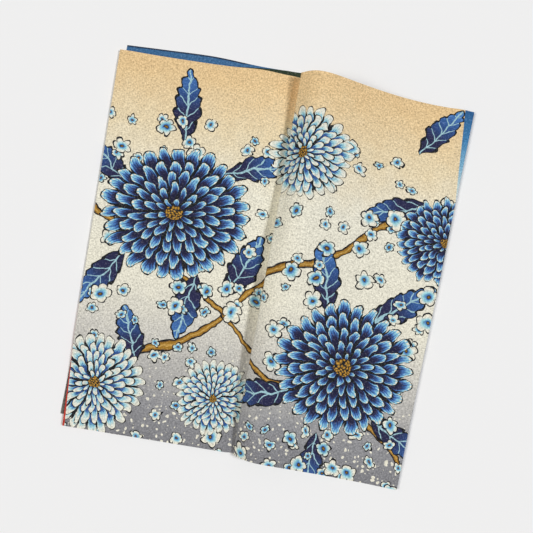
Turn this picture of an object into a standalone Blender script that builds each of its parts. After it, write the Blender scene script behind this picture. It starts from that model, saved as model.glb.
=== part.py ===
"""
Tenugui towel: one cut length of plain-woven cotton, folded back and forth into six
pages and opened in the middle like a book, lying on a table. Metres, +Z up.

X runs across the open book, from the left page to the right page. Y runs along the
gutter between the pages, from the near selvedge to the far one. Z = 0 is the table.
The left stack is three layers and the right stack is three layers. They are joined
at the gutter, where the right page stands up in a steep wall, bends over a shoulder on to
a crest and falls away in a long low arch that is higher at the far end. The origin is the
middle of the finished part's footprint, on the table.
"""
import math
from collections import namedtuple

import bpy
import numpy as np

# The cloth
CLOTH_WIDTH = 0.330
SHEET_THICKNESS = 0.0010
LAYER_PITCH = 0.0014
ROWS_ALONG_GUTTER = 14

# The gutter's trough, and the round corner where the wall starts
TROUGH_Z = 0.0016
CORNER_RADIUS = 0.0010
WALL_X = 0.0021
INNER_FOLD_BEYOND_TROUGH = 0.0028

# How far from a fold its page is puffed up, and how its facets crowd towards the fold
PUFF_SPAN = 0.022
PUFF_CROWDING = 1.6

# The arch's foot, and the cut end of the lowest layer under it
ARCH_FOOT_X = 0.122
PAGE_SIX_END_NEAR = 0.142
PAGE_SIX_END_FAR = 0.134

# The shoulder on top of the wall: how far the wall leans back below it, how softly it
# bends, and the slope that goes on up from there
WALL_LEAN = 0.0005
SHOULDER_HANDLE = 0.0012
SHOULDER_SLOPE = math.radians(40.0)

# Handles of the curves, as shares: of the trough's width, of the wall's height, of the way
# from the shoulder to the crest, and of the way from the crest to the foot
TROUGH_EDGE_HANDLE = 0.62
TROUGH_FLOOR_HANDLE = 0.60
WALL_HANDLE = 0.62
SHOULDER_OUT_HANDLE = 0.32
CREST_BACK_HANDLE = 0.50
CREST_FRONT_HANDLE = 0.16
FOOT_HANDLE = 0.52
FOOT_LIFT = 0.06

# One row for each section across the book, from the near selvedge (0) to the far one
# (1). Distances are in millimetres, measured from the gutter line or from the table.
Section = namedtuple("Section", "along left_fold left_end trough_width left_puff shoulder_x "
                                "shoulder_z crest_x crest_z right_inner right_puff right_fold")
SECTIONS = (
    Section(0.00, 146.6, 150.9, 6.0, 0.2, 2.4, 4.8, 22.0, 16.5, 5.0, 0.2, 144.7),
    Section(0.12, 148.8, 150.6, 9.0, 0.2, 2.4, 11.0, 22.0, 19.5, 5.4, 0.3, 145.9),
    Section(0.25, 151.0, 151.2, 10.0, 0.3, 2.4, 15.0, 22.0, 23.5, 6.0, 0.4, 147.0),
    Section(0.50, 153.5, 152.0, 9.5, 0.4, 2.4, 16.2, 21.5, 25.0, 7.5, 0.7, 149.6),
    Section(0.75, 156.0, 152.8, 7.5, 0.5, 2.1, 12.0, 21.5, 27.0, 9.5, 1.1, 152.0),
    Section(0.87, 157.2, 153.2, 6.5, 0.5, 1.6, 13.5, 21.5, 28.7, 10.7, 1.3, 153.2),
    Section(1.00, 158.4, 153.7, 6.0, 0.5, 1.0, 17.6, 21.5, 29.0, 12.0, 1.5, 154.4),
)

# How far each page has slid along Y, in millimetres, at shares of the way across it.
# near is at the near selvedge and far at the far one: the layers don't lie square.
Slide = namedtuple("Slide", "across near far")
PAGE_ONE_SLIDE = (
    Slide(0.00, 6.3, 1.6),
    Slide(0.23, 6.0, 3.5),
    Slide(0.50, 5.6, 5.3),
    Slide(0.78, 5.2, 4.0),
    Slide(1.00, 5.0, 4.6),
)
PAGE_TWO_SLIDE = (
    Slide(0.00, 5.0, 4.6),
    Slide(0.16, 3.0, 3.2),
    Slide(0.45, 0.6, -2.3),
    Slide(1.00, -2.9, -4.1),
)
PAGE_THREE_SLIDE = (
    Slide(0.00, -2.9, -4.1),
    Slide(0.33, -1.9, -3.2),
    Slide(0.61, -1.1, -1.5),
    Slide(0.79, -0.6, 0.6),
    Slide(0.93, -0.2, -0.2),
    Slide(1.00, 0.0, 0.0),
)
PAGE_FOUR_SLIDE = (
    Slide(0.00, 0.0, 0.0),
    Slide(0.02, -0.9, 0.5),
    Slide(0.06, -1.2, 0.9),
    Slide(0.14, -1.6, 0.5),
    Slide(0.30, -2.3, -0.8),
    Slide(0.70, -4.2, -2.9),
    Slide(1.00, -5.3, -2.9),
)
PAGE_FIVE_SLIDE = (
    Slide(0.00, -5.3, -2.9),
    Slide(0.50, -3.0, -4.0),
    Slide(1.00, -1.5, -3.5),
)
PAGE_SIX_SLIDE = (
    Slide(0.00, -1.5, -3.5),
    Slide(0.50, -2.5, -4.0),
    Slide(1.00, -4.0, -5.0),
)

# How many facets each stretch of the cloth has, walking from one cut end to the other
PAGE_STEPS = 6
INNER_FOLD_STEPS = 6
OUTER_FOLD_STEPS = 7
TROUGH_STEPS = 6
CORNER_STEPS = 4
WALL_STEPS = 7
SHOULDER_STEPS = 8
FALL_STEPS = 12

MILLIMETRE = 0.001
FOLD_RADIUS = LAYER_PITCH / 2.0
LEVEL_ONE = SHEET_THICKNESS / 2.0
LEVEL_TWO = LEVEL_ONE + LAYER_PITCH
LEVEL_THREE = LEVEL_TWO + LAYER_PITCH

COTTON_COLOUR = (0.80, 0.76, 0.66, 1.0)


def clear_scene():
    for obj in list(bpy.data.objects):
        bpy.data.objects.remove(obj, do_unlink=True)


def smooth_between(positions, values, at):
    """A curve through the table's values that doesn't kink at its rows."""
    positions = np.asarray(positions, dtype=float)
    values = np.asarray(values, dtype=float)
    slopes = np.gradient(values, positions)
    k = np.clip(np.searchsorted(positions, at, side="right") - 1, 0, len(positions) - 2)
    span = positions[k + 1] - positions[k]
    u = (at - positions[k]) / span
    start = (1 + 2 * u) * (1 - u) ** 2 * values[k] + u * (1 - u) ** 2 * span * slopes[k]
    end = u * u * (3 - 2 * u) * values[k + 1] - u * u * (1 - u) * span * slopes[k + 1]
    return start + end


def section_at(along):
    """The section at this share of the cloth's width, in metres."""
    rows = np.array(SECTIONS)
    values = [smooth_between(rows[:, 0], rows[:, column], along) * MILLIMETRE
              for column in range(1, rows.shape[1])]
    return Section(along, *values)


def slide_at(table, along, across):
    """How far the cloth has slid along Y at each share across a page, in metres."""
    rows = np.array(table)
    near = smooth_between(rows[:, 0], rows[:, 1], across)
    far = smooth_between(rows[:, 0], rows[:, 2], across)
    return (near + (far - near) * along) * MILLIMETRE


def run(start, end, steps):
    """A level stretch from start to end. Each stretch leaves its last point to the next."""
    share = np.arange(steps) / steps
    return np.column_stack([start[0] + (end[0] - start[0]) * share,
                            start[1] + (end[1] - start[1]) * share])


def turn(centre_x, centre_z, radius, from_degrees, to_degrees, steps):
    """A round fold about a centre, from one angle to another."""
    angle = np.radians(np.linspace(from_degrees, to_degrees, steps, endpoint=False))
    return np.column_stack([centre_x + radius * np.cos(angle), centre_z + radius * np.sin(angle)])


def bend(start, start_handle, end_handle, end, steps):
    """A Bezier curve, for the trough and the arch."""
    u = (np.arange(steps) / steps)[:, None]
    start, start_handle, end_handle, end = map(np.asarray, (start, start_handle, end_handle, end))
    return ((1 - u) ** 3 * start + 3 * u * (1 - u) ** 2 * start_handle
            + 3 * u * u * (1 - u) * end_handle + u ** 3 * end)


def puffed(points, fold_x, height):
    """Lifts a page softly over the last stretch before its fold, and lands it on the fold."""
    distance = np.abs(points[:, 0] - fold_x)
    share = np.clip(distance / PUFF_SPAN, 0.0, 1.0)
    lifted = points.copy()
    lifted[:, 1] += height * np.sin(math.pi * share) ** 2
    return lifted


def page_run(fold_x, open_x, steps):
    """Steps across an upper page that are closer together near its puffed fold."""
    share = np.linspace(0.0, 1.0, steps + 1)
    return fold_x + (open_x - fold_x) * share ** PUFF_CROWDING


def cloth_section(along):
    """The cloth's middle line at one row: x and z, and how far it has slid along Y."""
    at = section_at(along)
    inner_left = at.trough_width + INNER_FOLD_BEYOND_TROUGH
    left_x = -(at.left_fold - FOLD_RADIUS)
    right_x = at.right_fold - FOLD_RADIUS
    page_six_end = PAGE_SIX_END_NEAR + (PAGE_SIX_END_FAR - PAGE_SIX_END_NEAR) * along
    low_z = (LEVEL_ONE + LEVEL_TWO) / 2.0
    high_z = (LEVEL_TWO + LEVEL_THREE) / 2.0
    wall_z = TROUGH_Z + CORNER_RADIUS
    rise = at.crest_z - wall_z
    fall_x = ARCH_FOOT_X - at.crest_x

    page_one = run((-at.left_end, LEVEL_ONE), (-inner_left, LEVEL_ONE), PAGE_STEPS)
    fold_one = turn(-inner_left, low_z, FOLD_RADIUS, -90, 90, INNER_FOLD_STEPS)
    page_two = run((-inner_left, LEVEL_TWO), (left_x, LEVEL_TWO), PAGE_STEPS)
    fold_two = turn(left_x, high_z, FOLD_RADIUS, -90, -270, OUTER_FOLD_STEPS)
    page_three_x = page_run(left_x, -at.trough_width, PAGE_STEPS + 3)[:-1]
    page_three = np.column_stack([page_three_x, np.full(len(page_three_x), LEVEL_THREE)])
    page_three = puffed(page_three, left_x, at.left_puff)
    trough = bend((-at.trough_width, LEVEL_THREE),
                  (-TROUGH_EDGE_HANDLE * at.trough_width, LEVEL_THREE),
                  (-TROUGH_FLOOR_HANDLE * at.trough_width, TROUGH_Z),
                  (WALL_X - CORNER_RADIUS, TROUGH_Z), TROUGH_STEPS)
    corner = turn(WALL_X - CORNER_RADIUS, wall_z, CORNER_RADIUS, -90, 0, CORNER_STEPS)
    slope = np.array([math.cos(SHOULDER_SLOPE), math.sin(SHOULDER_SLOPE)])
    shoulder = np.array([at.shoulder_x, at.shoulder_z])
    crest_in = at.crest_x - shoulder[0]
    wall = bend((WALL_X, wall_z), (WALL_X - WALL_LEAN, wall_z + WALL_HANDLE * (at.shoulder_z - wall_z)),
                shoulder - SHOULDER_HANDLE * slope, shoulder, WALL_STEPS)
    shoulder_side = bend(shoulder, shoulder + SHOULDER_OUT_HANDLE * crest_in * slope,
                         (at.crest_x - CREST_BACK_HANDLE * crest_in, at.crest_z),
                         (at.crest_x, at.crest_z), SHOULDER_STEPS)
    fall = bend((at.crest_x, at.crest_z),
                (at.crest_x + CREST_FRONT_HANDLE * fall_x, at.crest_z),
                (at.crest_x + FOOT_HANDLE * fall_x, LEVEL_THREE + FOOT_LIFT * rise),
                (ARCH_FOOT_X, LEVEL_THREE), FALL_STEPS)
    page_four_x = page_run(right_x, ARCH_FOOT_X, PAGE_STEPS)[:0:-1]
    page_four = np.column_stack([page_four_x, np.full(len(page_four_x), LEVEL_THREE)])
    page_four = puffed(page_four, right_x, at.right_puff)
    fold_four = turn(right_x, high_z, FOLD_RADIUS, 90, -90, OUTER_FOLD_STEPS)
    page_five = run((right_x, LEVEL_TWO), (at.right_inner, LEVEL_TWO), PAGE_STEPS)
    fold_five = turn(at.right_inner, low_z, FOLD_RADIUS, 90, 270, INNER_FOLD_STEPS)
    page_six = run((at.right_inner, LEVEL_ONE), (page_six_end, LEVEL_ONE), PAGE_STEPS)
    cut_end = np.array([[page_six_end, LEVEL_ONE]])

    pages = (
        (PAGE_ONE_SLIDE, (page_one,), -at.left_end, -inner_left),
        (PAGE_TWO_SLIDE, (fold_one, page_two), -inner_left, left_x),
        (PAGE_THREE_SLIDE, (fold_two, page_three, trough, corner), left_x, WALL_X),
        (PAGE_FOUR_SLIDE, (wall, shoulder_side, fall, page_four), WALL_X, right_x),
        (PAGE_FIVE_SLIDE, (fold_four, page_five), right_x, at.right_inner),
        (PAGE_SIX_SLIDE, (fold_five, page_six, cut_end), at.right_inner, page_six_end),
    )
    lines = []
    slides = []
    for table, stretches, start_x, end_x in pages:
        line = np.concatenate(stretches)
        across = np.clip((line[:, 0] - start_x) / (end_x - start_x), 0.0, 1.0)
        lines.append(line)
        slides.append(slide_at(table, along, across))
    return np.concatenate(lines), np.concatenate(slides)


def section_normals(line):
    """Unit normals in the section, to the left of the walk: the cloth's printed face."""
    tangent = np.gradient(line, axis=0)
    tangent /= np.linalg.norm(tangent, axis=1)[:, None]
    return np.column_stack([-tangent[:, 1], tangent[:, 0]])


def sheet_points():
    """Points of the printed face and of the back, one row for each section."""
    face = []
    back = []
    for along in np.linspace(0.0, 1.0, ROWS_ALONG_GUTTER + 1):
        line, slide = cloth_section(along)
        normal = section_normals(line)
        y = along * CLOTH_WIDTH + slide
        for side, rows in ((0.5, face), (-0.5, back)):
            offset = line + side * SHEET_THICKNESS * normal
            rows.append(np.column_stack([offset[:, 0], y, offset[:, 1]]))
    return np.array(face), np.array(back)


def centred_on_footprint(points):
    """Moves the origin to the middle of the footprint, on the table."""
    low = points.min(axis=0)
    high = points.max(axis=0)
    return points - np.array([(low[0] + high[0]) / 2.0, (low[1] + high[1]) / 2.0, low[2]])


def sheet_faces(rows, columns):
    """Quads of the face, the back, the two selvedges and the two cut ends."""
    back = rows * columns
    quads = []
    for r in range(rows - 1):
        for c in range(columns - 1):
            a = r * columns + c
            b = a + columns
            quads.append((a, a + 1, b + 1, b))
            quads.append((back + a, back + b, back + b + 1, back + a + 1))
    for c in range(columns - 1):
        far = (rows - 1) * columns + c
        quads.append((c, back + c, back + c + 1, c + 1))
        quads.append((far, far + 1, back + far + 1, back + far))
    for r in range(rows - 1):
        a = r * columns
        z = a + columns - 1
        quads.append((a, a + columns, back + a + columns, back + a))
        quads.append((z, back + z, back + z + columns, z + columns))
    return quads


def cotton_material():
    material = bpy.data.materials.new("printed_cotton")
    material.use_nodes = True
    shader = material.node_tree.nodes["Principled BSDF"]
    shader.inputs["Base Color"].default_value = COTTON_COLOUR
    shader.inputs["Roughness"].default_value = 0.9
    shader.inputs["Metallic"].default_value = 0.0
    return material


def make_towel():
    face, back = sheet_points()
    rows, columns = face.shape[:2]
    points = centred_on_footprint(np.concatenate([face.reshape(-1, 3), back.reshape(-1, 3)]))
    mesh = bpy.data.meshes.new("towel")
    mesh.from_pydata(points.tolist(), [], sheet_faces(rows, columns))
    mesh.validate()
    mesh.shade_smooth()
    mesh.set_sharp_from_angle(angle=math.radians(50.0))
    mesh.materials.append(cotton_material())
    towel = bpy.data.objects.new("towel", mesh)
    bpy.context.collection.objects.link(towel)
    return towel


clear_scene()
make_towel()
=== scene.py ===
import math
from collections import namedtuple

import bpy
import numpy as np
from mathutils import Matrix, Vector


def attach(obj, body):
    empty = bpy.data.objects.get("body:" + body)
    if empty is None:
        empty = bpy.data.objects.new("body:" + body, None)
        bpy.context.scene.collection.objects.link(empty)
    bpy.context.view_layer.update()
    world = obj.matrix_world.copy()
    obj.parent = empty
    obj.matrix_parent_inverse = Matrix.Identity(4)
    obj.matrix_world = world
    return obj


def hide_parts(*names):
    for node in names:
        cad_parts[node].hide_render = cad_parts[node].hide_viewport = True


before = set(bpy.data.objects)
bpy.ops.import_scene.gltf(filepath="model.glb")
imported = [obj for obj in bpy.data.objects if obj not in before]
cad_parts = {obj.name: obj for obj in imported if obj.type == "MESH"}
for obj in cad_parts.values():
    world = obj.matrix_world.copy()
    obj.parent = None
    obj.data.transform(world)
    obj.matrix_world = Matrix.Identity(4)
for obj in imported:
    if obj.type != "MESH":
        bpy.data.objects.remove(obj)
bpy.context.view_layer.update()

scene = bpy.context.scene
scene.view_settings.view_transform = "Standard"

# The camera: a lens held close over the table, almost straight down, so that what stands
# up leans outwards in the picture. The towel lies turned a little on the table.
AIM = Vector((0.0030, -0.0022, 0.0))
CAMERA_DISTANCE = 0.6037
CAMERA_ELEVATION = math.radians(88.3)
TOWEL_TURN = math.radians(10.38)
LENS_MM = 47.0

picture_up = Vector((-math.sin(TOWEL_TURN), math.cos(TOWEL_TURN), 0.0))
towards_camera = (-math.cos(CAMERA_ELEVATION) * picture_up
                  + math.sin(CAMERA_ELEVATION) * Vector((0.0, 0.0, 1.0)))
picture_right = picture_up.cross(towards_camera).normalized()
camera_up = towards_camera.cross(picture_right)
camera = bpy.data.objects.new("camera", bpy.data.cameras.new("camera"))
camera.data.lens = LENS_MM
camera.matrix_world = (Matrix.Translation(AIM + CAMERA_DISTANCE * towards_camera)
                       @ Matrix((picture_right, camera_up, towards_camera)).transposed().to_4x4())
scene.collection.objects.link(camera)
scene.camera = camera

# The table: a wide sheet of matt white studio paper. Even light leaves almost no shadow
# on it, only a thin soft one against the towel's edges.
FLOOR_HALF_WIDTH = 3.0


def linear(hex_colour):
    """An sRGB hex value as the linear RGBA that Blender's shaders take."""
    channels = [int(hex_colour[i:i + 2], 16) / 255 for i in (1, 3, 5)]
    return [c / 12.92 if c <= 0.04045 else ((c + 0.055) / 1.055) ** 2.4 for c in channels] + [1.0]


paper = bpy.data.materials.new("matt_studio_paper")
paper.use_nodes = True
tree = paper.node_tree
shader = tree.nodes["Principled BSDF"]
shader.inputs["Base Color"].default_value = linear("#f1f1f1")
shader.inputs["Roughness"].default_value = 0.95
shader.inputs["Specular IOR Level"].default_value = 0.2
floor_mesh = bpy.data.meshes.new("table")
floor_mesh.from_pydata([(-FLOOR_HALF_WIDTH, -FLOOR_HALF_WIDTH, 0.0),
                        (FLOOR_HALF_WIDTH, -FLOOR_HALF_WIDTH, 0.0),
                        (FLOOR_HALF_WIDTH, FLOOR_HALF_WIDTH, 0.0),
                        (-FLOOR_HALF_WIDTH, FLOOR_HALF_WIDTH, 0.0)], [], [(0, 1, 2, 3)])
floor_mesh.materials.append(paper)
floor = bpy.data.objects.new("table", floor_mesh)
scene.collection.objects.link(floor)

# The light: two soft lamps, one on each side as over a copying table, and a little light
# from the white room all round. The right lamp throws the arch's shadow on the left page.
# The left lamp is a little warmer, so the shadow is too.
world = bpy.data.worlds.new("white_room")
scene.world = world
world.use_nodes = True
world.node_tree.nodes["Background"].inputs["Color"].default_value = linear("#ffffff")
world.node_tree.nodes["Background"].inputs["Strength"].default_value = 0.18
Lamp = namedtuple("Lamp", "name side height_degrees width_degrees strength colour")
for lamp in (Lamp("right_lamp", 1.0, 54.0, 12.0, 1.68, "#f8faff"),
             Lamp("left_lamp", -1.0, 52.0, 30.0, 1.59, "#fffcf6")):
    light = bpy.data.lights.new(lamp.name, "SUN")
    light.color = linear(lamp.colour)[:3]
    light.angle = math.radians(lamp.width_degrees)
    light.energy = lamp.strength
    light_object = bpy.data.objects.new(lamp.name, light)
    height = math.radians(lamp.height_degrees)
    towards = math.cos(height) * lamp.side * picture_right + math.sin(height) * Vector((0.0, 0.0, 1.0))
    light_object.rotation_euler = towards.to_track_quat("Z", "Y").to_euler()
    scene.collection.objects.link(light_object)

# The cloth: one cut length of plain-woven cotton, 330 mm wide between its selvedges, with
# both ends cut raw, folded into six pages. It is about 0.3 mm thick, and drawn at 0.4 mm.
# It is walked from one cut end to the other, with its printed face on the walk's left.
CLOTH_WIDTH = 0.330
SHEET_THICKNESS = 0.0004
ROWS_ALONG_GUTTER = 110
MILLIMETRE = 0.001

# Middles of the three layers, and the radius of the folds that join them
LEVEL_ONE = 0.0003
LEVEL_TWO = 0.0018
LEVEL_THREE = 0.0033
FOLD_RADIUS = 0.00072

# The gutter's trough, and the round corner where the wall starts. The two lower layers are
# pressed flat under the trough, and their inner fold comes out at the gutter. The second
# layer starts to sink this far before the trough, and is down at this share of its width.
TROUGH_Z = 0.0016
CORNER_RADIUS = 0.0005
WALL_X = 0.0021
INNER_LEFT_X = 0.0010
PRESSED_Z = 0.00078
PRESSED_FROM = 0.006
PRESSED_SHARE = 0.4

# How far from a fold its page is puffed up, and how its columns crowd towards the fold
PUFF_SPAN = 0.022
PUFF_CROWDING = 1.35

# The arch's foot, and the cut end of the lowest layer under it
ARCH_FOOT_X = 0.122
PAGE_SIX_END_NEAR = 0.142
PAGE_SIX_END_FAR = 0.134

# The shoulder on top of the wall: how far the wall leans back below it, how softly it
# bends, and the slope that goes on up from there
WALL_LEAN = 0.0005
SHOULDER_HANDLE = 0.0012
SHOULDER_SLOPE = math.radians(40.0)

# Handles of the curves, as shares: of the trough's width, of the wall's height, of the way
# from the shoulder to the crest, and of the way from the crest to the foot
TROUGH_EDGE_HANDLE = 0.62
TROUGH_FLOOR_HANDLE = 0.60
WALL_HANDLE = 0.62
SHOULDER_OUT_HANDLE = 0.32
CREST_BACK_HANDLE = 0.50
CREST_FRONT_HANDLE = 0.16
FOOT_HANDLE = 0.52
FOOT_LIFT = 0.06

# One row for each section across the book, from the near selvedge (0) to the far one
# (1). Distances are in millimetres, measured from the gutter line or from the table.
Section = namedtuple("Section", "along left_fold left_end trough_width left_puff shoulder_x "
                                "shoulder_z crest_x crest_z right_inner right_puff right_fold")
SECTIONS = (
    Section(0.00, 146.6, 150.9, 6.0, 0.2, 2.4, 4.8, 22.0, 16.5, 5.0, 0.2, 144.7),
    Section(0.12, 148.8, 150.6, 9.0, 0.2, 2.4, 11.0, 22.0, 19.5, 5.4, 0.3, 145.9),
    Section(0.25, 151.0, 151.2, 10.0, 0.3, 2.4, 15.0, 22.0, 23.5, 6.0, 0.4, 147.0),
    Section(0.50, 153.5, 152.0, 9.5, 0.4, 2.4, 16.2, 21.5, 25.0, 7.5, 0.7, 149.6),
    Section(0.75, 156.0, 152.8, 7.5, 0.5, 2.1, 12.0, 21.5, 27.0, 9.5, 1.1, 152.0),
    Section(0.87, 157.2, 153.2, 6.5, 0.5, 1.6, 13.5, 21.5, 28.7, 10.7, 1.3, 153.2),
    Section(1.00, 158.4, 153.7, 6.0, 0.5, 1.0, 17.6, 21.5, 29.0, 12.0, 1.5, 154.4),
)

# How far each page has slid along Y, in millimetres, at shares of the way across it.
# near is at the near selvedge and far at the far one: the layers don't lie square.
Slide = namedtuple("Slide", "across near far")
PAGE_ONE_SLIDE = (
    Slide(0.00, 6.3, 1.6),
    Slide(0.23, 6.0, 3.5),
    Slide(0.50, 5.6, 5.3),
    Slide(0.78, 5.2, 4.0),
    Slide(1.00, 5.0, 4.6),
)
PAGE_TWO_SLIDE = (
    Slide(0.00, 5.0, 4.6),
    Slide(0.16, 3.0, 3.2),
    Slide(0.45, 0.6, -2.3),
    Slide(1.00, -2.9, -4.1),
)
PAGE_THREE_SLIDE = (
    Slide(0.00, -2.9, -4.1),
    Slide(0.33, -1.9, -3.2),
    Slide(0.61, -1.1, -1.5),
    Slide(0.79, -0.6, 0.6),
    Slide(0.93, -0.2, -0.2),
    Slide(1.00, 0.0, 0.0),
)
PAGE_FOUR_SLIDE = (
    Slide(0.00, 0.0, 0.0),
    Slide(0.02, -0.9, 0.5),
    Slide(0.06, -1.2, 0.9),
    Slide(0.14, -1.6, 0.5),
    Slide(0.30, -2.3, -0.8),
    Slide(0.70, -4.2, -2.9),
    Slide(1.00, -5.3, -2.9),
)
PAGE_FIVE_SLIDE = (
    Slide(0.00, -5.3, -2.9),
    Slide(0.50, -3.0, -4.0),
    Slide(1.00, -1.5, -3.5),
)
PAGE_SIX_SLIDE = (
    Slide(0.00, -1.5, -3.5),
    Slide(0.50, -2.5, -4.0),
    Slide(1.00, -4.0, -5.0),
)

# How many columns of faces each stretch of the cloth has
HIDDEN_PAGE_STEPS = 26
FOLD_STEPS = 9
PAGE_THREE_STEPS = 60
TROUGH_STEPS = 10
CORNER_STEPS = 5
WALL_STEPS = 12
SHOULDER_STEPS = 14
FALL_STEPS = 40
PAGE_FOUR_STEPS = 14

# Soft troughs and ridges that the cloth keeps from being handled, on the cloth laid flat:
# where each one starts and ends, in millimetres across from the gutter (left is minus)
# and up from the near selvedge, its height (a trough is minus) and its half width.
Crease = namedtuple("Crease", "across_1 up_1 across_2 up_2 height half_width")
CREASES = (
    Crease(-14, 10, -22, 120, -0.25, 6.0),
    Crease(-150, 60, -96, 300, 0.16, 14.0),
    Crease(-118, 20, -64, 70, 0.18, 10.0),
    Crease(-70, 180, -34, 262, -0.18, 9.0),
    Crease(-140, 300, -60, 316, 0.15, 8.0),
    Crease(16, 20, 24, 110, 0.55, 9.0),
    Crease(30, 60, 74, 128, -0.60, 12.0),
    Crease(44, 170, 98, 232, 0.50, 14.0),
    Crease(26, 210, 60, 318, -0.55, 13.0),
    Crease(82, 40, 128, 110, -0.25, 10.0),
    Crease(96, 236, 140, 300, -0.22, 10.0),
    Crease(70, 262, 92, 326, 0.45, 9.0),
)
CREASE_END = 18.0


def smooth_between(positions, values, at):
    """A curve through the table's values that doesn't kink at its rows."""
    positions = np.asarray(positions, dtype=float)
    values = np.asarray(values, dtype=float)
    slopes = np.gradient(values, positions)
    k = np.clip(np.searchsorted(positions, at, side="right") - 1, 0, len(positions) - 2)
    span = positions[k + 1] - positions[k]
    u = (at - positions[k]) / span
    start = (1 + 2 * u) * (1 - u) ** 2 * values[k] + u * (1 - u) ** 2 * span * slopes[k]
    end = u * u * (3 - 2 * u) * values[k + 1] - u * u * (1 - u) * span * slopes[k + 1]
    return start + end


def section_at(along):
    """The section at this share of the cloth's width, in metres."""
    rows = np.array(SECTIONS)
    values = [smooth_between(rows[:, 0], rows[:, column], along) * MILLIMETRE
              for column in range(1, rows.shape[1])]
    return Section(along, *values)


def slide_at(table, along, across):
    """How far the cloth has slid along Y at each share across a page, in metres."""
    rows = np.array(table)
    near = smooth_between(rows[:, 0], rows[:, 1], across)
    far = smooth_between(rows[:, 0], rows[:, 2], across)
    return (near + (far - near) * along) * MILLIMETRE


def run(start, end, steps):
    """A level stretch from start to end. Each stretch leaves its last point to the next."""
    share = np.arange(steps) / steps
    return np.column_stack([start[0] + (end[0] - start[0]) * share,
                            start[1] + (end[1] - start[1]) * share])


def turn(centre_x, centre_z, radius, from_degrees, to_degrees, steps):
    """A round fold about a centre, from one angle to another."""
    angle = np.radians(np.linspace(from_degrees, to_degrees, steps, endpoint=False))
    return np.column_stack([centre_x + radius * np.cos(angle), centre_z + radius * np.sin(angle)])


def bend(start, start_handle, end_handle, end, steps):
    """A Bezier curve, for the arch."""
    u = (np.arange(steps) / steps)[:, None]
    start, start_handle, end_handle, end = map(np.asarray, (start, start_handle, end_handle, end))
    return ((1 - u) ** 3 * start + 3 * u * (1 - u) ** 2 * start_handle
            + 3 * u * u * (1 - u) * end_handle + u ** 3 * end)


def puffed(points, fold_x, height):
    """Lifts a page softly over the last stretch before its fold, and lands it on the fold."""
    distance = np.abs(points[:, 0] - fold_x)
    share = np.clip(distance / PUFF_SPAN, 0.0, 1.0)
    lifted = points.copy()
    lifted[:, 1] += height * np.sin(math.pi * share) ** 2
    return lifted


def pressed_under(x, trough_width):
    """Level two's height: it sinks on to level one where the trough presses on it."""
    sinking = PRESSED_FROM + PRESSED_SHARE * trough_width
    share = np.clip((x + trough_width + PRESSED_FROM) / sinking, 0.0, 1.0)
    return LEVEL_TWO + (PRESSED_Z - LEVEL_TWO) * share * share * (3 - 2 * share)


def page_run(fold_x, open_x, steps):
    """Steps across an upper page that are closer together near its puffed fold."""
    share = np.linspace(0.0, 1.0, steps + 1)
    return fold_x + (open_x - fold_x) * share ** PUFF_CROWDING


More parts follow.
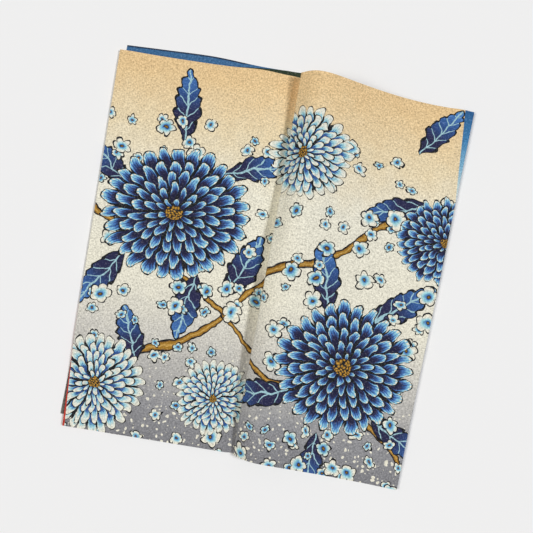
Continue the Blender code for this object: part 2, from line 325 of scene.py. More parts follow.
def cloth_section(along):
    """The six pages of the cloth's middle line at one row: x and z, and the slide along Y."""
    at = section_at(along)
    left_x = -(at.left_fold - FOLD_RADIUS)
    right_x = at.right_fold - FOLD_RADIUS
    page_six_end = PAGE_SIX_END_NEAR + (PAGE_SIX_END_FAR - PAGE_SIX_END_NEAR) * along
    low_z = (LEVEL_ONE + LEVEL_TWO) / 2.0
    high_z = (LEVEL_TWO + LEVEL_THREE) / 2.0
    pressed_z = (LEVEL_ONE + PRESSED_Z) / 2.0
    wall_z = TROUGH_Z + CORNER_RADIUS
    rise = at.crest_z - wall_z
    fall_x = ARCH_FOOT_X - at.crest_x

    page_one = run((-at.left_end, LEVEL_ONE), (INNER_LEFT_X, LEVEL_ONE), HIDDEN_PAGE_STEPS)
    fold_one = turn(INNER_LEFT_X, pressed_z, (PRESSED_Z - LEVEL_ONE) / 2, -90, 90, FOLD_STEPS)
    page_two = run((INNER_LEFT_X, PRESSED_Z), (left_x, PRESSED_Z), HIDDEN_PAGE_STEPS)
    page_two[:, 1] = pressed_under(page_two[:, 0], at.trough_width)
    fold_two = turn(left_x, high_z, (LEVEL_THREE - LEVEL_TWO) / 2, -90, -270, FOLD_STEPS)
    page_three_x = page_run(left_x, -at.trough_width, PAGE_THREE_STEPS)[:-1]
    page_three = np.column_stack([page_three_x, np.full(len(page_three_x), LEVEL_THREE)])
    page_three = puffed(page_three, left_x, at.left_puff)
    trough = bend((-at.trough_width, LEVEL_THREE),
                  (-TROUGH_EDGE_HANDLE * at.trough_width, LEVEL_THREE),
                  (-TROUGH_FLOOR_HANDLE * at.trough_width, TROUGH_Z),
                  (WALL_X - CORNER_RADIUS, TROUGH_Z), TROUGH_STEPS)
    corner = turn(WALL_X - CORNER_RADIUS, wall_z, CORNER_RADIUS, -90, 0, CORNER_STEPS)
    slope = np.array([math.cos(SHOULDER_SLOPE), math.sin(SHOULDER_SLOPE)])
    shoulder = np.array([at.shoulder_x, at.shoulder_z])
    crest_in = at.crest_x - shoulder[0]
    lean_z = wall_z + WALL_HANDLE * (at.shoulder_z - wall_z)
    wall = bend((WALL_X, wall_z), (WALL_X - WALL_LEAN, lean_z),
                shoulder - SHOULDER_HANDLE * slope, shoulder, WALL_STEPS)
    shoulder_side = bend(shoulder, shoulder + SHOULDER_OUT_HANDLE * crest_in * slope,
                         (at.crest_x - CREST_BACK_HANDLE * crest_in, at.crest_z),
                         (at.crest_x, at.crest_z), SHOULDER_STEPS)
    fall = bend((at.crest_x, at.crest_z),
                (at.crest_x + CREST_FRONT_HANDLE * fall_x, at.crest_z),
                (at.crest_x + FOOT_HANDLE * fall_x, LEVEL_THREE + FOOT_LIFT * rise),
                (ARCH_FOOT_X, LEVEL_THREE), FALL_STEPS)
    page_four_x = page_run(right_x, ARCH_FOOT_X, PAGE_FOUR_STEPS)[:0:-1]
    page_four = np.column_stack([page_four_x, np.full(len(page_four_x), LEVEL_THREE)])
    page_four = puffed(page_four, right_x, at.right_puff)
    fold_four = turn(right_x, high_z, (LEVEL_THREE - LEVEL_TWO) / 2, 90, -90, FOLD_STEPS)
    page_five = run((right_x, LEVEL_TWO), (at.right_inner, LEVEL_TWO), HIDDEN_PAGE_STEPS)
    fold_five = turn(at.right_inner, low_z, (LEVEL_TWO - LEVEL_ONE) / 2, 90, 270, FOLD_STEPS)
    page_six = run((at.right_inner, LEVEL_ONE), (page_six_end, LEVEL_ONE), HIDDEN_PAGE_STEPS)
    cut_end = np.array([[page_six_end, LEVEL_ONE]])

    return (
        (PAGE_ONE_SLIDE, (page_one,), -at.left_end, INNER_LEFT_X),
        (PAGE_TWO_SLIDE, (fold_one, page_two), INNER_LEFT_X, left_x),
        (PAGE_THREE_SLIDE, (fold_two, page_three, trough, corner), left_x, WALL_X),
        (PAGE_FOUR_SLIDE, (wall, shoulder_side, fall, page_four), WALL_X, right_x),
        (PAGE_FIVE_SLIDE, (fold_four, page_five), right_x, at.right_inner),
        (PAGE_SIX_SLIDE, (fold_five, page_six, cut_end), at.right_inner, page_six_end),
    )


def middle_row(along):
    """One row of the middle surface: points, the slide, and where each page's fold comes."""
    lines = []
    slides = []
    starts = []
    for table, stretches, start_x, end_x in cloth_section(along):
        line = np.concatenate(stretches)
        across = np.clip((line[:, 0] - start_x) / (end_x - start_x), 0.0, 1.0)
        starts.append(sum(len(other) for other in lines))
        lines.append(line)
        slides.append(slide_at(table, along, across))
    line = np.concatenate(lines)
    y = along * CLOTH_WIDTH + np.concatenate(slides)
    return np.column_stack([line[:, 0], y, line[:, 1]]), starts


# The print's own measure across the cloth is millimetres from the gutter. It is kept
# straight at the folds, so each page is as wide as this on the cloth laid flat.
PAGE_WIDTH_MM = 150.0
OUTER_PAGE_WIDTH_MM = 146.0

middle = []
for along in np.linspace(0.0, 1.0, ROWS_ALONG_GUTTER + 1):
    points, starts = middle_row(along)
    middle.append(points)
middle = np.array(middle)
rows, columns = middle.shape[:2]
half_fold = FOLD_STEPS // 2
fold_columns = [0, starts[1] + half_fold, starts[2] + half_fold, starts[3],
                starts[4] + half_fold, starts[5] + half_fold, columns - 1]
fold_places = [-2 * PAGE_WIDTH_MM - OUTER_PAGE_WIDTH_MM, -2 * PAGE_WIDTH_MM, -PAGE_WIDTH_MM, 0.0,
               PAGE_WIDTH_MM, 2 * PAGE_WIDTH_MM, 2 * PAGE_WIDTH_MM + OUTER_PAGE_WIDTH_MM]
across_mm = np.zeros((rows, columns))
for r in range(rows):
    steps = np.linalg.norm(np.diff(middle[r][:, (0, 2)], axis=0), axis=1)
    walked = np.concatenate([[0.0], np.cumsum(steps)])
    across_mm[r] = np.interp(walked, walked[fold_columns], fold_places)
up_mm = np.repeat(np.linspace(0.0, CLOTH_WIDTH / MILLIMETRE, rows)[:, None], columns, axis=1)


def surface_normals(points):
    """Unit normals of a grid of points, on the printed face's side."""
    walk = np.gradient(points, axis=1)
    up = np.gradient(points, axis=0)
    normal = np.cross(walk, up)
    return normal / np.linalg.norm(normal, axis=2)[:, :, None]


def crease_heights(across, up):
    """How far the creases lift or sink the cloth at each point, in metres."""
    total = np.zeros_like(across)
    for crease in CREASES:
        run_across = crease.across_2 - crease.across_1
        run_up = crease.up_2 - crease.up_1
        length = math.hypot(run_across, run_up)
        along = ((across - crease.across_1) * run_across + (up - crease.up_1) * run_up) / length
        aside = ((across - crease.across_1) * run_up - (up - crease.up_1) * run_across) / length
        ending = np.clip(np.minimum(along, length - along) / CREASE_END, 0.0, 1.0)
        fade = ending * ending * (3 - 2 * ending)
        total += crease.height * fade * np.exp(-0.5 * (aside / crease.half_width) ** 2)
    return total * MILLIMETRE


middle += crease_heights(across_mm, up_mm)[:, :, None] * surface_normals(middle)
normals = surface_normals(middle)
points = np.concatenate([(middle + 0.5 * SHEET_THICKNESS * normals).reshape(-1, 3),
                         (middle - 0.5 * SHEET_THICKNESS * normals).reshape(-1, 3)])

# The gutter's near end in the object's frame, whose origin is the middle of the footprint
GUTTER_X = 0.0020
GUTTER_Y = -0.1650
points += (GUTTER_X, GUTTER_Y, 0.0)
points[:, 2] -= points[:, 2].min()

# Where each part of the cloth goes on the square that its colours are baked on: the open
# pages get most of it, and the hidden pages, the back and the edges share the rest.
Island = namedtuple("Island", "left right bottom top")
OPEN_PAGES = Island(0.004, 0.744, 0.004, 0.800)
LEFT_HIDDEN = Island(0.004, 0.370, 0.812, 0.972)
RIGHT_HIDDEN = Island(0.378, 0.744, 0.812, 0.972)
BACK = Island(0.756, 0.996, 0.004, 0.972)
SELVEDGES = (Island(0.004, 0.996, 0.980, 0.983), Island(0.004, 0.996, 0.986, 0.989))
CUT_ENDS = (Island(0.004, 0.490, 0.992, 0.995), Island(0.510, 0.996, 0.992, 0.995))


def on_island(island, share_across, share_up):
    """A place on the baked square, from shares across and up an island."""
    return np.column_stack([island.left + (island.right - island.left) * share_across,
                            island.bottom + (island.top - island.bottom) * share_up])


def share_between(values, first, last):
    """How far each value lies on the way from the first one to the last one."""
    return (values - values[first]) / (values[last] - values[first])


FACE_SLOT, BACK_SLOT, EDGE_SLOT = 0, 1, 2
quads = []
slots = []
bake_places = []
open_start = starts[2]
open_end = starts[4] + FOLD_STEPS
typical = across_mm[rows // 2]
for first, last, island in ((0, open_start, LEFT_HIDDEN), (open_start, open_end, OPEN_PAGES),
                            (open_end, columns - 1, RIGHT_HIDDEN)):
    r, c = np.meshgrid(np.arange(rows - 1), np.arange(first, last), indexing="ij")
    corners = [(r, c), (r, c + 1), (r + 1, c + 1), (r + 1, c)]
    quads.append(np.stack([(rr * columns + cc).ravel() for rr, cc in corners], axis=1))
    share = share_between(typical, first, last)
    bake_places.append(np.stack([on_island(island, share[cc.ravel()], rr.ravel() / (rows - 1))
                                 for rr, cc in corners], axis=1))
    slots.append(np.full(r.size, FACE_SLOT))
r, c = np.meshgrid(np.arange(rows - 1), np.arange(columns - 1), indexing="ij")
corners = [(r, c), (r + 1, c), (r + 1, c + 1), (r, c + 1)]
back = rows * columns
quads.append(np.stack([(back + rr * columns + cc).ravel() for rr, cc in corners], axis=1))
share = share_between(typical, 0, columns - 1)
bake_places.append(np.stack([on_island(BACK, rr.ravel() / (rows - 1), share[cc.ravel()])
                             for rr, cc in corners], axis=1))
slots.append(np.full(r.size, BACK_SLOT))
c = np.arange(columns - 1)
for island, row, flipped in ((SELVEDGES[0], 0, False), (SELVEDGES[1], rows - 1, True)):
    a = row * columns + c
    ring = [(a, c, 0), (back + a, c, 1), (back + a + 1, c + 1, 1), (a + 1, c + 1, 0)]
    ring = ring[::-1] if flipped else ring
    quads.append(np.stack([vertex for vertex, _, _ in ring], axis=1))
    bake_places.append(np.stack([on_island(island, share[column], np.full(c.size, side))
                                 for _, column, side in ring], axis=1))
    slots.append(np.full(c.size, EDGE_SLOT))
r = np.arange(rows - 1)
for island, column, flipped in ((CUT_ENDS[0], 0, True), (CUT_ENDS[1], columns - 1, False)):
    a = r * columns + column
    ring = [(a, r, 0), (back + a, r, 1), (back + a + columns, r + 1, 1), (a + columns, r + 1, 0)]
    ring = ring[::-1] if flipped else ring
    quads.append(np.stack([vertex for vertex, _, _ in ring], axis=1))
    bake_places.append(np.stack([on_island(island, row / (rows - 1), np.full(r.size, side))
                                 for _, row, side in ring], axis=1))
    slots.append(np.full(r.size, EDGE_SLOT))
quads = np.concatenate(quads)
slots = np.concatenate(slots)
bake_places = np.concatenate(bake_places).reshape(-1, 2)

towel_mesh = bpy.data.meshes.new("printed_towel")
towel_mesh.from_pydata(points.tolist(), [], quads.tolist())
towel_mesh.polygons.foreach_set("material_index", slots.astype(np.int32))
cloth_places = np.column_stack([across_mm.ravel(), up_mm.ravel()])
cloth_places = np.concatenate([cloth_places, cloth_places])[quads.ravel()]
for name, places in (("cloth", cloth_places), ("OFBake", bake_places)):
    layer = towel_mesh.uv_layers.new(name=name)
    layer.data.foreach_set("uv", places.astype(np.float32).ravel())
towel_mesh.shade_smooth()
towel_mesh.set_sharp_from_angle(angle=math.radians(50.0))
towel = bpy.data.objects.new("printed_towel", towel_mesh)
scene.collection.objects.link(towel)

# The print: flowers in navy, two blues and cream with black key lines, on a ground that is
# shaded by hand from tan to cream to grey. It is dyed into the cotton, so it has no gloss.
# Everything is drawn in millimetres on the cloth laid flat, across from the gutter and up
# from the near selvedge. The motifs and where they stand are this towel's own.
INK, NAVY, DEEP_BLUE, BLUE = "#16191f", "#28294e", "#30548f", "#4a7dbf"
AQUA, CREAM, TAN = "#8fccd8", "#e9e5d3", "#e6c897"
OCHRE, RED, GREEN = "#a57a2a", "#c0392b", "#152c19"


def put(tree, kind, inputs=(), out=0, stops=(), knots=(), **settings):
    """Adds a node, sets it, links or sets its inputs, and gives back one of its outputs."""
    node = tree.nodes.new(kind)
    for name, value in settings.items():
        setattr(node, name, value)
    for socket, value in dict(inputs).items():
        if isinstance(value, bpy.types.NodeSocket):
            tree.links.new(value, node.inputs[socket])
        else:
            node.inputs[socket].default_value = value
    for number, (place, colour) in enumerate(stops):
        ramp = node.color_ramp.elements
        stop = ramp[number] if number < 2 else ramp.new(place)
        stop.position = place
        stop.color = linear(colour)
    for number, (place, height) in enumerate(knots):
        curve = node.mapping.curves[0].points
        knot = curve[number] if number < 2 else curve.new(place, height)
        knot.location = (place, height)
    return node.outputs[out] if node.outputs else None


print_tree = bpy.data.node_groups.new("flower_print", "ShaderNodeTree")
print_tree.interface.new_socket("Color", in_out="OUTPUT", socket_type="NodeSocketColor")
print_tree.interface.new_socket("Yarns", in_out="OUTPUT", socket_type="NodeSocketFloat")
t = print_tree
place = put(t, "ShaderNodeUVMap", uv_map="cloth")
across_and_up = put(t, "ShaderNodeSeparateXYZ", {0: place}).node.outputs
across, up = across_and_up[0], across_and_up[1]

# A brush's slow wander, and the ragged edge that dye makes as it runs along a thread, in
# millimetres. Both only push one way, so each motif's place is moved by their mean.
WANDER_MM = 9.0
RAGGED_MM = 0.4
MEAN_PUSH_MM = 5.0
wander = put(t, "ShaderNodeTexNoise", {"Vector": place, "Scale": 0.07, "Detail": 2.0}, out="Color")
ragged = put(t, "ShaderNodeTexNoise", {"Vector": place, "Scale": 0.9, "Detail": 1.0}, out="Color")
drawn = put(t, "ShaderNodeVectorMath", {0: wander, 1: (WANDER_MM, WANDER_MM, 0.0), 2: place},
            operation="MULTIPLY_ADD")
drawn = put(t, "ShaderNodeVectorMath", {0: ragged, 1: (RAGGED_MM, RAGGED_MM, 0.0), 2: drawn},
            operation="MULTIPLY_ADD")

# The open pages are one panel of the print. The plain panels beside it start a little
# askew of the folds, so a sliver of each shows there: where each starts at the near
# selvedge, in millimetres, and how far it leans to the left on the way up.
LEFT_PANEL_MM, LEFT_PANEL_LEAN = -147.6, 0.0262
RIGHT_PANEL_MM, RIGHT_PANEL_LEAN = 170.6, 0.0846
left_panel = put(t, "ShaderNodeMath", {0: up, 1: LEFT_PANEL_LEAN, 2: across},
                 operation="MULTIPLY_ADD")
left_panel = put(t, "ShaderNodeMath", {0: left_panel, 1: LEFT_PANEL_MM}, operation="LESS_THAN")
right_panel = put(t, "ShaderNodeMath", {0: up, 1: RIGHT_PANEL_LEAN, 2: across},
                  operation="MULTIPLY_ADD")
right_panel = put(t, "ShaderNodeMath", {0: right_panel, 1: RIGHT_PANEL_MM},
                  operation="GREATER_THAN")


def nearest_place(tree, position, places):
    """Position measured in the nearest place's own size and turn. Z holds 0.05 of its tone."""
    best = None
    for at in places:
        centre = (at.across + MEAN_PUSH_MM, at.up + MEAN_PUSH_MM, -0.05 * at.tone)
        local = put(tree, "ShaderNodeMapping",
                    {"Vector": position, "Location": centre,
                     "Rotation": (0.0, 0.0, math.radians(at.turn)),
                     "Scale": (at.length, at.width, 1.0)}, vector_type="TEXTURE")
        reach = put(tree, "ShaderNodeVectorMath", {0: local}, out="Value", operation="LENGTH")
        if best is None:
            best, best_reach = local, reach
            continue
        nearer = put(tree, "ShaderNodeMath", {0: reach, 1: best_reach}, operation="LESS_THAN")
        best = put(tree, "ShaderNodeMix", {0: nearer, 4: best, 5: local}, out=1, data_type="VECTOR")
        best_reach = put(tree, "ShaderNodeMath", {0: reach, 1: best_reach}, operation="MINIMUM")
    return best


Motif = namedtuple("Motif", "across up length width turn tone")

# The ground, shaded from the near selvedge to the far one, with a soft uneven drift
GROUND_DRIFT_MM = 34.0
GROUND_LENGTH_MM = 360.0
ground_wander = put(t, "ShaderNodeMath", {0: wander, 1: GROUND_DRIFT_MM, 2: up},
                    operation="MULTIPLY_ADD")
ground_share = put(t, "ShaderNodeMapRange", {0: ground_wander, 1: 0.0, 2: GROUND_LENGTH_MM})
colour = put(t, "ShaderNodeValToRGB", {0: ground_share},
             stops=((0.0, "#747479"), (0.14, "#949497"), (0.30, "#cfccc3"), (0.42, CREAM),
                    (0.66, CREAM), (0.80, "#e7d6b2"), (0.92, TAN), (1.0, "#e4c18d")))

# Spatter of resist paste: small round flecks left undyed on the grey
fleck = put(t, "ShaderNodeTexVoronoi", {"Vector": drawn, "Scale": 0.21, "Randomness": 0.95},
            voronoi_dimensions="2D").node.outputs
fleck_chance = put(t, "ShaderNodeSeparateColor", {0: fleck["Color"]}).node.outputs
fleck_size = put(t, "ShaderNodeMapRange", {0: fleck_chance[0], 1: 0.30, 2: 1.0, 3: 0.0, 4: 0.31})
fleck_near = put(t, "ShaderNodeMapRange", {0: up, 1: 10.0, 2: 140.0, 3: 1.0, 4: 0.0})
fleck_reach = put(t, "ShaderNodeMath", {0: fleck_size, 1: fleck_near}, operation="MULTIPLY")
fleck_here = put(t, "ShaderNodeMath", {0: fleck["Distance"], 1: fleck_reach}, operation="LESS_THAN")
colour = put(t, "ShaderNodeMix", {0: fleck_here, 6: colour, 7: linear(CREAM)}, out=2,
             data_type="RGBA")

# Branches: brown boughs with a black key line on each side. A bough's knots give its
# height, as a share of the cloth's width, at shares of the way across the open pages.
BOUGH_KEY_LINE_MM = 0.9
cloth_width_mm = CLOTH_WIDTH / MILLIMETRE
drawn_axes = put(t, "ShaderNodeSeparateXYZ", {0: drawn}).node.outputs
bough_share = put(t, "ShaderNodeMapRange", {0: drawn_axes[0], 1: -160.0, 2: 160.0})
Bough = namedtuple("Bough", "half_width knots")
BOUGHS = (
    Bough(3.4, ((0.0, 0.10), (0.18, 0.22), (0.36, 0.30), (0.52, 0.47), (0.70, 0.56), (0.86, 0.70),
                (1.0, 0.74))),
    Bough(2.2, ((0.0, 0.62), (0.20, 0.50), (0.40, 0.38), (0.58, 0.24), (0.80, 0.20), (1.0, 0.06))),
)
for bough in BOUGHS:
    centre = put(t, "ShaderNodeFloatCurve", {"Value": bough_share}, knots=bough.knots)
    off = put(t, "ShaderNodeMath", {0: centre, 1: -cloth_width_mm, 2: drawn_axes[1]},
              operation="MULTIPLY_ADD")
    off = put(t, "ShaderNodeMath", {0: off}, operation="ABSOLUTE")
    bark = put(t, "ShaderNodeMapRange", {0: off, 1: 0.0, 2: 2.0 * bough.half_width})
    bark = put(t, "ShaderNodeValToRGB", {0: bark},
               stops=((0.0, "#c39a4e"), (0.12, OCHRE), (0.34, "#7b5620"), (0.44, INK), (1.0, INK)))
    bark.node.color_ramp.interpolation = "CONSTANT"
    here = put(t, "ShaderNodeMath", {0: off, 1: bough.half_width + BOUGH_KEY_LINE_MM},
               operation="LESS_THAN")
    colour = put(t, "ShaderNodeMix", {0: here, 6: colour, 7: bark}, out=2, data_type="RGBA")

# Leaves: pointed and notched, navy at the stalk and lighter at the tip, with pale veins
LEAVES = (
    Motif(-20, 158, 34, 14, 70, 0.0), Motif(-136, 132, 32, 13, 235, 0.4),
    Motif(-146, 232, 30, 12, 140, 0.8), Motif(-88, 290, 34, 13, 95, 0.2),
    Motif(-24, 244, 30, 12, 20, 0.6), Motif(-62, 118, 32, 13, 262, 0.5),
    Motif(20, 58, 32, 13, 195, 0.1), Motif(124, 152, 34, 13, 42, 0.5),
    Motif(60, 164, 32, 13, 105, 0.9), Motif(142, 40, 30, 12, 330, 0.2),
    Motif(72, 8, 30, 12, 265, 0.7), Motif(-104, 86, 28, 12, 110, 0.3),
    Motif(104, 232, 30, 12, 200, 0.3), Motif(128, 306, 28, 11, 60, 0.6),
)
leaf = nearest_place(t, drawn, LEAVES)
leaf_axes = put(t, "ShaderNodeSeparateXYZ", {0: leaf}).node.outputs
leaf_aside = put(t, "ShaderNodeMath", {0: leaf_axes[1]}, operation="ABSOLUTE")
leaf_swell = put(t, "ShaderNodeMath", {0: leaf_axes[0], 1: leaf_axes[0]}, operation="MULTIPLY")
leaf_vein = put(t, "ShaderNodeMath", {0: leaf_aside, 1: -0.42, 2: leaf_axes[0]},
                operation="MULTIPLY_ADD")
leaf_vein = put(t, "ShaderNodeMath", {0: leaf_vein, 1: 3.2}, operation="MULTIPLY")
leaf_notch = put(t, "ShaderNodeMath", {0: leaf_vein, 1: math.pi}, operation="MULTIPLY")
leaf_notch = put(t, "ShaderNodeMath", {0: leaf_notch}, operation="SINE")
leaf_notch = put(t, "ShaderNodeMath", {0: leaf_notch}, operation="ABSOLUTE")
leaf_rim = put(t, "ShaderNodeMath", {0: leaf_swell, 1: -0.90, 2: 0.78}, operation="MULTIPLY_ADD")
leaf_rim = put(t, "ShaderNodeMath", {0: leaf_notch, 1: 0.15, 2: leaf_rim}, operation="MULTIPLY_ADD")
leaf_edge = put(t, "ShaderNodeMath", {0: leaf_rim, 1: leaf_aside}, operation="SUBTRACT")
leaf_here = put(t, "ShaderNodeMath", {0: leaf_edge, 1: 0.0}, operation="GREATER_THAN")
leaf_line = put(t, "ShaderNodeMath", {0: leaf_edge, 1: 0.12}, operation="LESS_THAN")
rib = put(t, "ShaderNodeMath", {0: leaf_aside, 1: 0.055}, operation="LESS_THAN")
side_vein = put(t, "ShaderNodeMath", {0: leaf_notch, 1: 0.17}, operation="LESS_THAN")
veins = put(t, "ShaderNodeMath", {0: rib, 1: side_vein}, operation="MAXIMUM")
leaf_tone = put(t, "ShaderNodeMath", {0: leaf_axes[2], 1: 6.0, 2: leaf_axes[0]},
                operation="MULTIPLY_ADD")
leaf_tone = put(t, "ShaderNodeMapRange", {0: leaf_tone, 1: -1.0, 2: 1.3})
leaf_colour = put(t, "ShaderNodeValToRGB", {0: leaf_tone},
                  stops=((0.0, "#1f2140"), (0.40, NAVY), (0.62, DEEP_BLUE), (0.85, BLUE),
                         (1.0, AQUA)))
leaf_colour = put(t, "ShaderNodeMix", {0: veins, 6: leaf_colour, 7: linear("#9fc6cf")}, out=2,
                  data_type="RGBA")
leaf_colour = put(t, "ShaderNodeMix", {0: leaf_line, 6: leaf_colour, 7: linear(INK)}, out=2,
                  data_type="RGBA")
colour = put(t, "ShaderNodeMix", {0: leaf_here, 6: colour, 7: leaf_colour}, out=2, data_type="RGBA")

# Small five-petalled blossoms, scattered in drifts below the plain top of the ground.
# share is how many of a drift's places hold one. Sizes are in millimetres.
BLOSSOM_TOP_MM = 286.0
Drift = namedtuple("Drift", "spacing radius line share seed")
DRIFTS = (Drift(17.0, 6.2, 0.95, 0.50, 3.0), Drift(27.0, 9.8, 1.1, 0.42, 11.0))
for drift in DRIFTS:
    spot = put(t, "ShaderNodeVectorMath",
               {0: drawn, 1: (1 / drift.spacing,) * 3, 2: (drift.seed, drift.seed, 0.0)},
               operation="MULTIPLY_ADD")
    cell = put(t, "ShaderNodeTexVoronoi", {"Vector": spot, "Scale": 1.0, "Randomness": 0.62},
               voronoi_dimensions="2D").node.outputs
    luck = put(t, "ShaderNodeSeparateColor", {0: cell["Color"]}).node.outputs
    local = put(t, "ShaderNodeVectorMath", {0: spot, 1: cell["Position"]}, operation="SUBTRACT")
    axes = put(t, "ShaderNodeSeparateXYZ", {0: local}).node.outputs
    angle = put(t, "ShaderNodeMath", {0: axes[1], 1: axes[0]}, operation="ARCTAN2")
    angle = put(t, "ShaderNodeMath", {0: luck[0], 1: 6.28, 2: angle}, operation="MULTIPLY_ADD")
    lobe = put(t, "ShaderNodeMath", {0: angle, 1: 2.5}, operation="MULTIPLY")
    lobe = put(t, "ShaderNodeMath", {0: lobe}, operation="COSINE")
    lobe = put(t, "ShaderNodeMath", {0: lobe}, operation="ABSOLUTE")
    crown = put(t, "ShaderNodeMath", {0: lobe, 1: 0.55}, operation="POWER")
    reach = put(t, "ShaderNodeMath", {0: luck[1], 1: 0.30, 2: 0.70}, operation="MULTIPLY_ADD")
    crown = put(t, "ShaderNodeMath", {0: crown, 1: 0.42, 2: 0.58}, operation="MULTIPLY_ADD")
    crown = put(t, "ShaderNodeMath", {0: crown, 1: reach}, operation="MULTIPLY")
    radius = put(t, "ShaderNodeMath", {0: cell["Distance"], 1: drift.spacing / drift.radius},
                 operation="MULTIPLY")
    edge = put(t, "ShaderNodeMath", {0: crown, 1: radius}, operation="SUBTRACT")
    here = put(t, "ShaderNodeMath", {0: edge, 1: 0.0}, operation="GREATER_THAN")
    chosen = put(t, "ShaderNodeTexNoise",
                 {"Vector": cell["Position"], "Scale": 0.11 * drift.spacing / 10})
    chosen = put(t, "ShaderNodeMath", {0: luck[2], 1: chosen}, operation="ADD")
    chosen = put(t, "ShaderNodeMath", {0: chosen, 1: 2 * (1 - drift.share)}, operation="GREATER_THAN")
    here = put(t, "ShaderNodeMath", {0: here, 1: chosen}, operation="MULTIPLY")
    cell_up = put(t, "ShaderNodeSeparateXYZ", {0: cell["Position"]}, out="Y")
    top = BLOSSOM_TOP_MM / drift.spacing + drift.seed
    low_enough = put(t, "ShaderNodeMath", {0: cell_up, 1: top}, operation="LESS_THAN")
    here = put(t, "ShaderNodeMath", {0: here, 1: low_enough}, operation="MULTIPLY")
    petal_share = put(t, "ShaderNodeMapRange", {0: radius, 1: 0.0, 2: 1.0})
    petal = put(t, "ShaderNodeValToRGB", {0: petal_share},
                stops=((0.0, OCHRE), (0.13, INK), (0.19, BLUE), (0.34, AQUA), (0.52, "#dfe6dc"),
                       (0.60, CREAM)))
    outline = put(t, "ShaderNodeMath", {0: edge, 1: drift.line / drift.radius}, operation="LESS_THAN")
    petal = put(t, "ShaderNodeMix", {0: outline, 6: petal, 7: linear(INK)}, out=2, data_type="RGBA")
    colour = put(t, "ShaderNodeMix", {0: here, 6: colour, 7: petal}, out=2, data_type="RGBA")

# Great chrysanthemums: rings of petals, each ring laid over the one outside it. A ring's
# sizes are shares of the flower's radius, and a flower's tone says how pale it is.
BLOOMS = (
    Motif(-84, 196, 64, 62, 8, 0.0), Motif(88, 92, 60, 58, 40, 0.1),
    Motif(24, 262, 42, 40, 15, 1.0), Motif(-128, 40, 46, 44, 70, 1.0),
    Motif(148, 214, 40, 40, 25, 0.2), Motif(-26, 44, 34, 33, 55, 0.6),
)
Ring = namedtuple("Ring", "reach petals turn roundness depth")
RINGS = (
    Ring(1.00, 27, 0.00, 0.17, 0.24), Ring(0.82, 24, 0.45, 0.19, 0.23),
    Ring(0.64, 20, 0.20, 0.21, 0.22), Ring(0.46, 15, 0.70, 0.24, 0.20),
    Ring(0.29, 10, 0.30, 0.28, 0.16),
)
KEY_LINE = 0.021
EYE_REACH = 0.115
bloom = nearest_place(t, drawn, BLOOMS)
bloom_axes = put(t, "ShaderNodeSeparateXYZ", {0: bloom}).node.outputs
bloom_angle = put(t, "ShaderNodeMath", {0: bloom_axes[1], 1: bloom_axes[0]}, operation="ARCTAN2")
bloom_radius = put(t, "ShaderNodeVectorMath", {0: bloom}, out="Value", operation="LENGTH")
drawing = None
for ring in RINGS:
    turned = put(t, "ShaderNodeMath", {0: bloom_angle, 1: ring.petals / math.tau, 2: ring.turn},
                 operation="MULTIPLY_ADD")
    which = put(t, "ShaderNodeMath", {0: turned}, operation="FLOOR")
    which = put(t, "ShaderNodeMath", {0: bloom_axes[2], 1: 900.0, 2: which}, operation="MULTIPLY_ADD")
    luck = put(t, "ShaderNodeTexWhiteNoise", {"W": which}, noise_dimensions="1D")
    aside = put(t, "ShaderNodeMath", {0: turned}, operation="FRACT")
    aside = put(t, "ShaderNodeMath", {0: aside, 1: 0.5}, operation="SUBTRACT")
    aside = put(t, "ShaderNodeMath", {0: aside}, operation="ABSOLUTE")
    taper = put(t, "ShaderNodeMath", {0: aside, 1: 2.4}, operation="POWER")
    rim = put(t, "ShaderNodeMath", {0: taper, 1: -5.3 * ring.roundness, 2: ring.reach},
              operation="MULTIPLY_ADD")
    rim = put(t, "ShaderNodeMath", {0: luck, 1: -0.07, 2: rim}, operation="MULTIPLY_ADD")
    depth = put(t, "ShaderNodeMath", {0: rim, 1: bloom_radius}, operation="SUBTRACT")
    inside = put(t, "ShaderNodeMath", {0: depth, 1: 0.0}, operation="GREATER_THAN")
    side = put(t, "ShaderNodeMath", {0: 0.5, 1: aside}, operation="SUBTRACT")
    side = put(t, "ShaderNodeMath", {0: side, 1: bloom_radius}, operation="MULTIPLY")
    side = put(t, "ShaderNodeMath", {0: side, 1: math.tau / ring.petals}, operation="MULTIPLY")
    edge = put(t, "ShaderNodeMath", {0: depth, 1: side}, operation="MINIMUM")
    line = put(t, "ShaderNodeMath", {0: edge, 1: KEY_LINE}, operation="LESS_THAN")
    down = put(t, "ShaderNodeMath", {0: depth, 1: ring.depth}, operation="DIVIDE")
    facts = put(t, "ShaderNodeCombineXYZ", {0: down, 1: aside, 2: line})
    if drawing is None:
        drawing, bloom_here = facts, inside
    else:
        drawing = put(t, "ShaderNodeMix", {0: inside, 4: drawing, 5: facts}, out=1,
                      data_type="VECTOR")
petal_facts = put(t, "ShaderNodeSeparateXYZ", {0: drawing}).node.outputs
stripe = put(t, "ShaderNodeMath", {0: petal_facts[1], 1: 7.0}, operation="MULTIPLY")
stripe = put(t, "ShaderNodeMath", {0: stripe}, operation="FRACT")
stripe = put(t, "ShaderNodeMath", {0: stripe, 1: 0.55}, operation="GREATER_THAN")
petal_down = put(t, "ShaderNodeMath", {0: stripe, 1: 0.16, 2: petal_facts[0]},
                 operation="MULTIPLY_ADD")
dark_petal = put(t, "ShaderNodeValToRGB", {0: petal_down},
                 stops=((0.0, CREAM), (0.17, CREAM), (0.22, AQUA), (0.36, "#7fb9dc"), (0.46, BLUE),
                        (0.62, DEEP_BLUE), (0.76, NAVY), (1.0, "#1d1e3c")))
pale_petal = put(t, "ShaderNodeValToRGB", {0: petal_down},
                 stops=((0.0, CREAM), (0.45, "#e4e5d8"), (0.62, "#b9d8da"), (0.80, AQUA),
                        (0.95, BLUE), (1.0, DEEP_BLUE)))
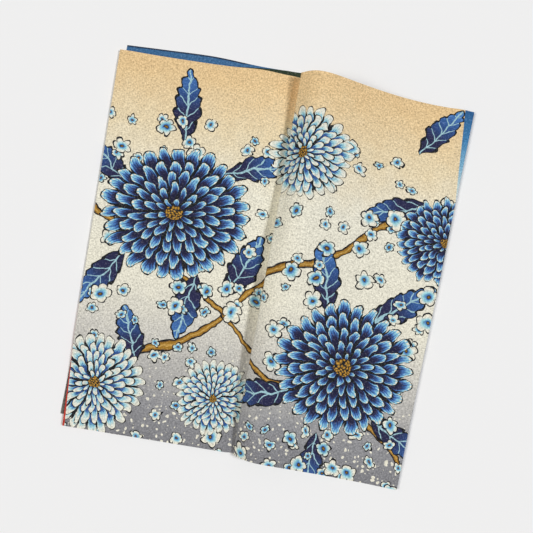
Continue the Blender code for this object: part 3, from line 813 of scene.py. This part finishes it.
paleness = put(t, "ShaderNodeMath", {0: bloom_axes[2], 1: 0.025}, operation="GREATER_THAN")
petal = put(t, "ShaderNodeMix", {0: paleness, 6: dark_petal, 7: pale_petal}, out=2, data_type="RGBA")
petal = put(t, "ShaderNodeMix", {0: petal_facts[2], 6: petal, 7: linear(INK)}, out=2,
            data_type="RGBA")
eye_seed = put(t, "ShaderNodeTexVoronoi", {"Vector": bloom, "Scale": 26.0, "Randomness": 0.5},
               voronoi_dimensions="2D")
eye = put(t, "ShaderNodeValToRGB", {0: eye_seed},
          stops=((0.0, "#d9a53c"), (0.30, OCHRE), (0.50, INK)))
eye_here = put(t, "ShaderNodeMath", {0: bloom_radius, 1: EYE_REACH}, operation="LESS_THAN")
petal = put(t, "ShaderNodeMix", {0: eye_here, 6: petal, 7: eye}, out=2, data_type="RGBA")
colour = put(t, "ShaderNodeMix", {0: bloom_here, 6: colour, 7: petal}, out=2, data_type="RGBA")

# The plain panels: blue that pales towards the near selvedge on the right, and on the left blue, then
# green and red. Over the left one lie a flat dark line, about 1.3 mm wide, along the far selvedge, and
# flat grey over the last few millimetres of the cut end near the near selvedge.
up_share = put(t, "ShaderNodeMath", {0: up, 1: cloth_width_mm}, operation="DIVIDE")
right_ground = put(t, "ShaderNodeValToRGB", {0: up_share},
                   stops=((0.0, "#c9c9c4"), (0.74, "#d3d5cf"), (0.80, "#bcd3d6"), (0.85, "#7db2cf"),
                          (0.92, "#3f7fb0"), (1.0, "#2a5d90")))
colour = put(t, "ShaderNodeMix", {0: right_panel, 6: colour, 7: right_ground}, out=2,
             data_type="RGBA")
across_share = put(t, "ShaderNodeMapRange", {0: across, 1: -450.0, 2: -150.0})
left_ground = put(t, "ShaderNodeValToRGB", {0: across_share},
                  stops=((0.0, "#3a6894"), (0.42, "#3f6c98"), (0.47, GREEN), (0.78, GREEN),
                         (0.84, RED), (1.0, RED)))
far_start = put(t, "ShaderNodeMapRange", {0: across, 1: -350.0, 2: -335.0, 3: 328.7, 4: 331.0})
far_line = put(t, "ShaderNodeMath", {0: up, 1: far_start}, operation="GREATER_THAN")
left_ground = put(t, "ShaderNodeMix", {0: far_line, 6: left_ground, 7: linear("#1f3550")}, out=2,
                  data_type="RGBA")
near_end = put(t, "ShaderNodeMapRange", {0: up, 1: 90.0, 2: 150.0, 3: -440.0, 4: -450.0})
near_end = put(t, "ShaderNodeMath", {0: across, 1: near_end}, operation="LESS_THAN")
left_ground = put(t, "ShaderNodeMix", {0: near_end, 6: left_ground, 7: linear("#6a6561")}, out=2,
                  data_type="RGBA")
colour = put(t, "ShaderNodeMix", {0: left_panel, 6: colour, 7: left_ground}, out=2,
             data_type="RGBA")

# The cloth under the print. The yarns are about 0.45 mm apart, too fine for a photograph
# of the whole towel, so the grain that they make is drawn about 1 mm wide.
WEAVE_MM = 0.95
SLUB_LENGTH_MM = 2.1
THICK_AND_THIN = 0.22
warp = put(t, "ShaderNodeVectorMath", {0: place, 1: (1 / SLUB_LENGTH_MM, 1 / WEAVE_MM, 0.0)},
           operation="MULTIPLY")
warp = put(t, "ShaderNodeTexNoise", {"Vector": warp, "Scale": 1.0, "Detail": 1.0})
weft = put(t, "ShaderNodeVectorMath", {0: place, 1: (1 / WEAVE_MM, 1 / SLUB_LENGTH_MM, 0.0)},
           operation="MULTIPLY")
weft = put(t, "ShaderNodeTexNoise", {"Vector": weft, "Scale": 1.0, "Detail": 1.0})
yarns = put(t, "ShaderNodeMath", {0: warp, 1: weft}, operation="ADD")
shade = put(t, "ShaderNodeMapRange", {0: yarns, 1: 0.6, 2: 1.4, 3: 0.60, 4: 1.33})
thick_and_thin = put(t, "ShaderNodeTexNoise", {"Vector": place, "Scale": 0.13, "Detail": 3.0})
shade = put(t, "ShaderNodeMath", {0: thick_and_thin, 1: THICK_AND_THIN, 2: shade},
            operation="MULTIPLY_ADD")
shade = put(t, "ShaderNodeMath", {0: shade, 1: THICK_AND_THIN / 2}, operation="SUBTRACT")
colour = put(t, "ShaderNodeVectorMath", {0: colour, "Scale": shade}, operation="SCALE")
undyed = put(t, "ShaderNodeMapRange", {0: yarns, 1: 1.08, 2: 1.40, 3: 0.0, 4: 0.12})
colour = put(t, "ShaderNodeMix", {0: undyed, 6: colour, 7: linear(CREAM)}, out=2, data_type="RGBA")
put(t, "NodeGroupOutput", {"Color": colour, "Yarns": yarns}, out=None)

# Plain-woven cotton, washed once: quite matt, with a little fuzz that catches the light at
# the folds. The back is hardly paler, because the dye goes almost right through. The edges
# are much paler, because cut and turned yarns show their undyed core.
Cotton = namedtuple("Cotton", "name paleness roughness")
for cotton in (Cotton("plain_woven_cotton", 0.0, 0.88), Cotton("cotton_back", 0.02, 0.93),
               Cotton("cotton_edge", 0.40, 0.95)):
    material = bpy.data.materials.new(cotton.name)
    material.use_nodes = True
    tree = material.node_tree
    shader = tree.nodes["Principled BSDF"]
    shader.inputs["IOR"].default_value = 1.5
    shader.inputs["Specular IOR Level"].default_value = 0.25
    shader.inputs["Sheen Weight"].default_value = 0.06
    shader.inputs["Sheen Roughness"].default_value = 0.45
    printed = put(tree, "ShaderNodeGroup", node_tree=print_tree).node.outputs
    colour = put(tree, "ShaderNodeMix", {0: cotton.paleness, 6: printed["Color"], 7: linear(CREAM)},
                 out=2, data_type="RGBA")
    tree.links.new(colour, shader.inputs["Base Color"])
    rough = put(tree, "ShaderNodeMapRange", {0: printed["Yarns"], 1: 0.7, 2: 1.3,
                                             3: cotton.roughness - 0.05, 4: cotton.roughness + 0.05})
    tree.links.new(rough, shader.inputs["Roughness"])
    bump = put(tree, "ShaderNodeBump", {"Height": printed["Yarns"], "Strength": 0.35,
                                        "Distance": 0.0003}, out="Normal")
    tree.links.new(bump, shader.inputs["Normal"])
    towel_mesh.materials.append(material)

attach(towel, "root")
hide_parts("towel")
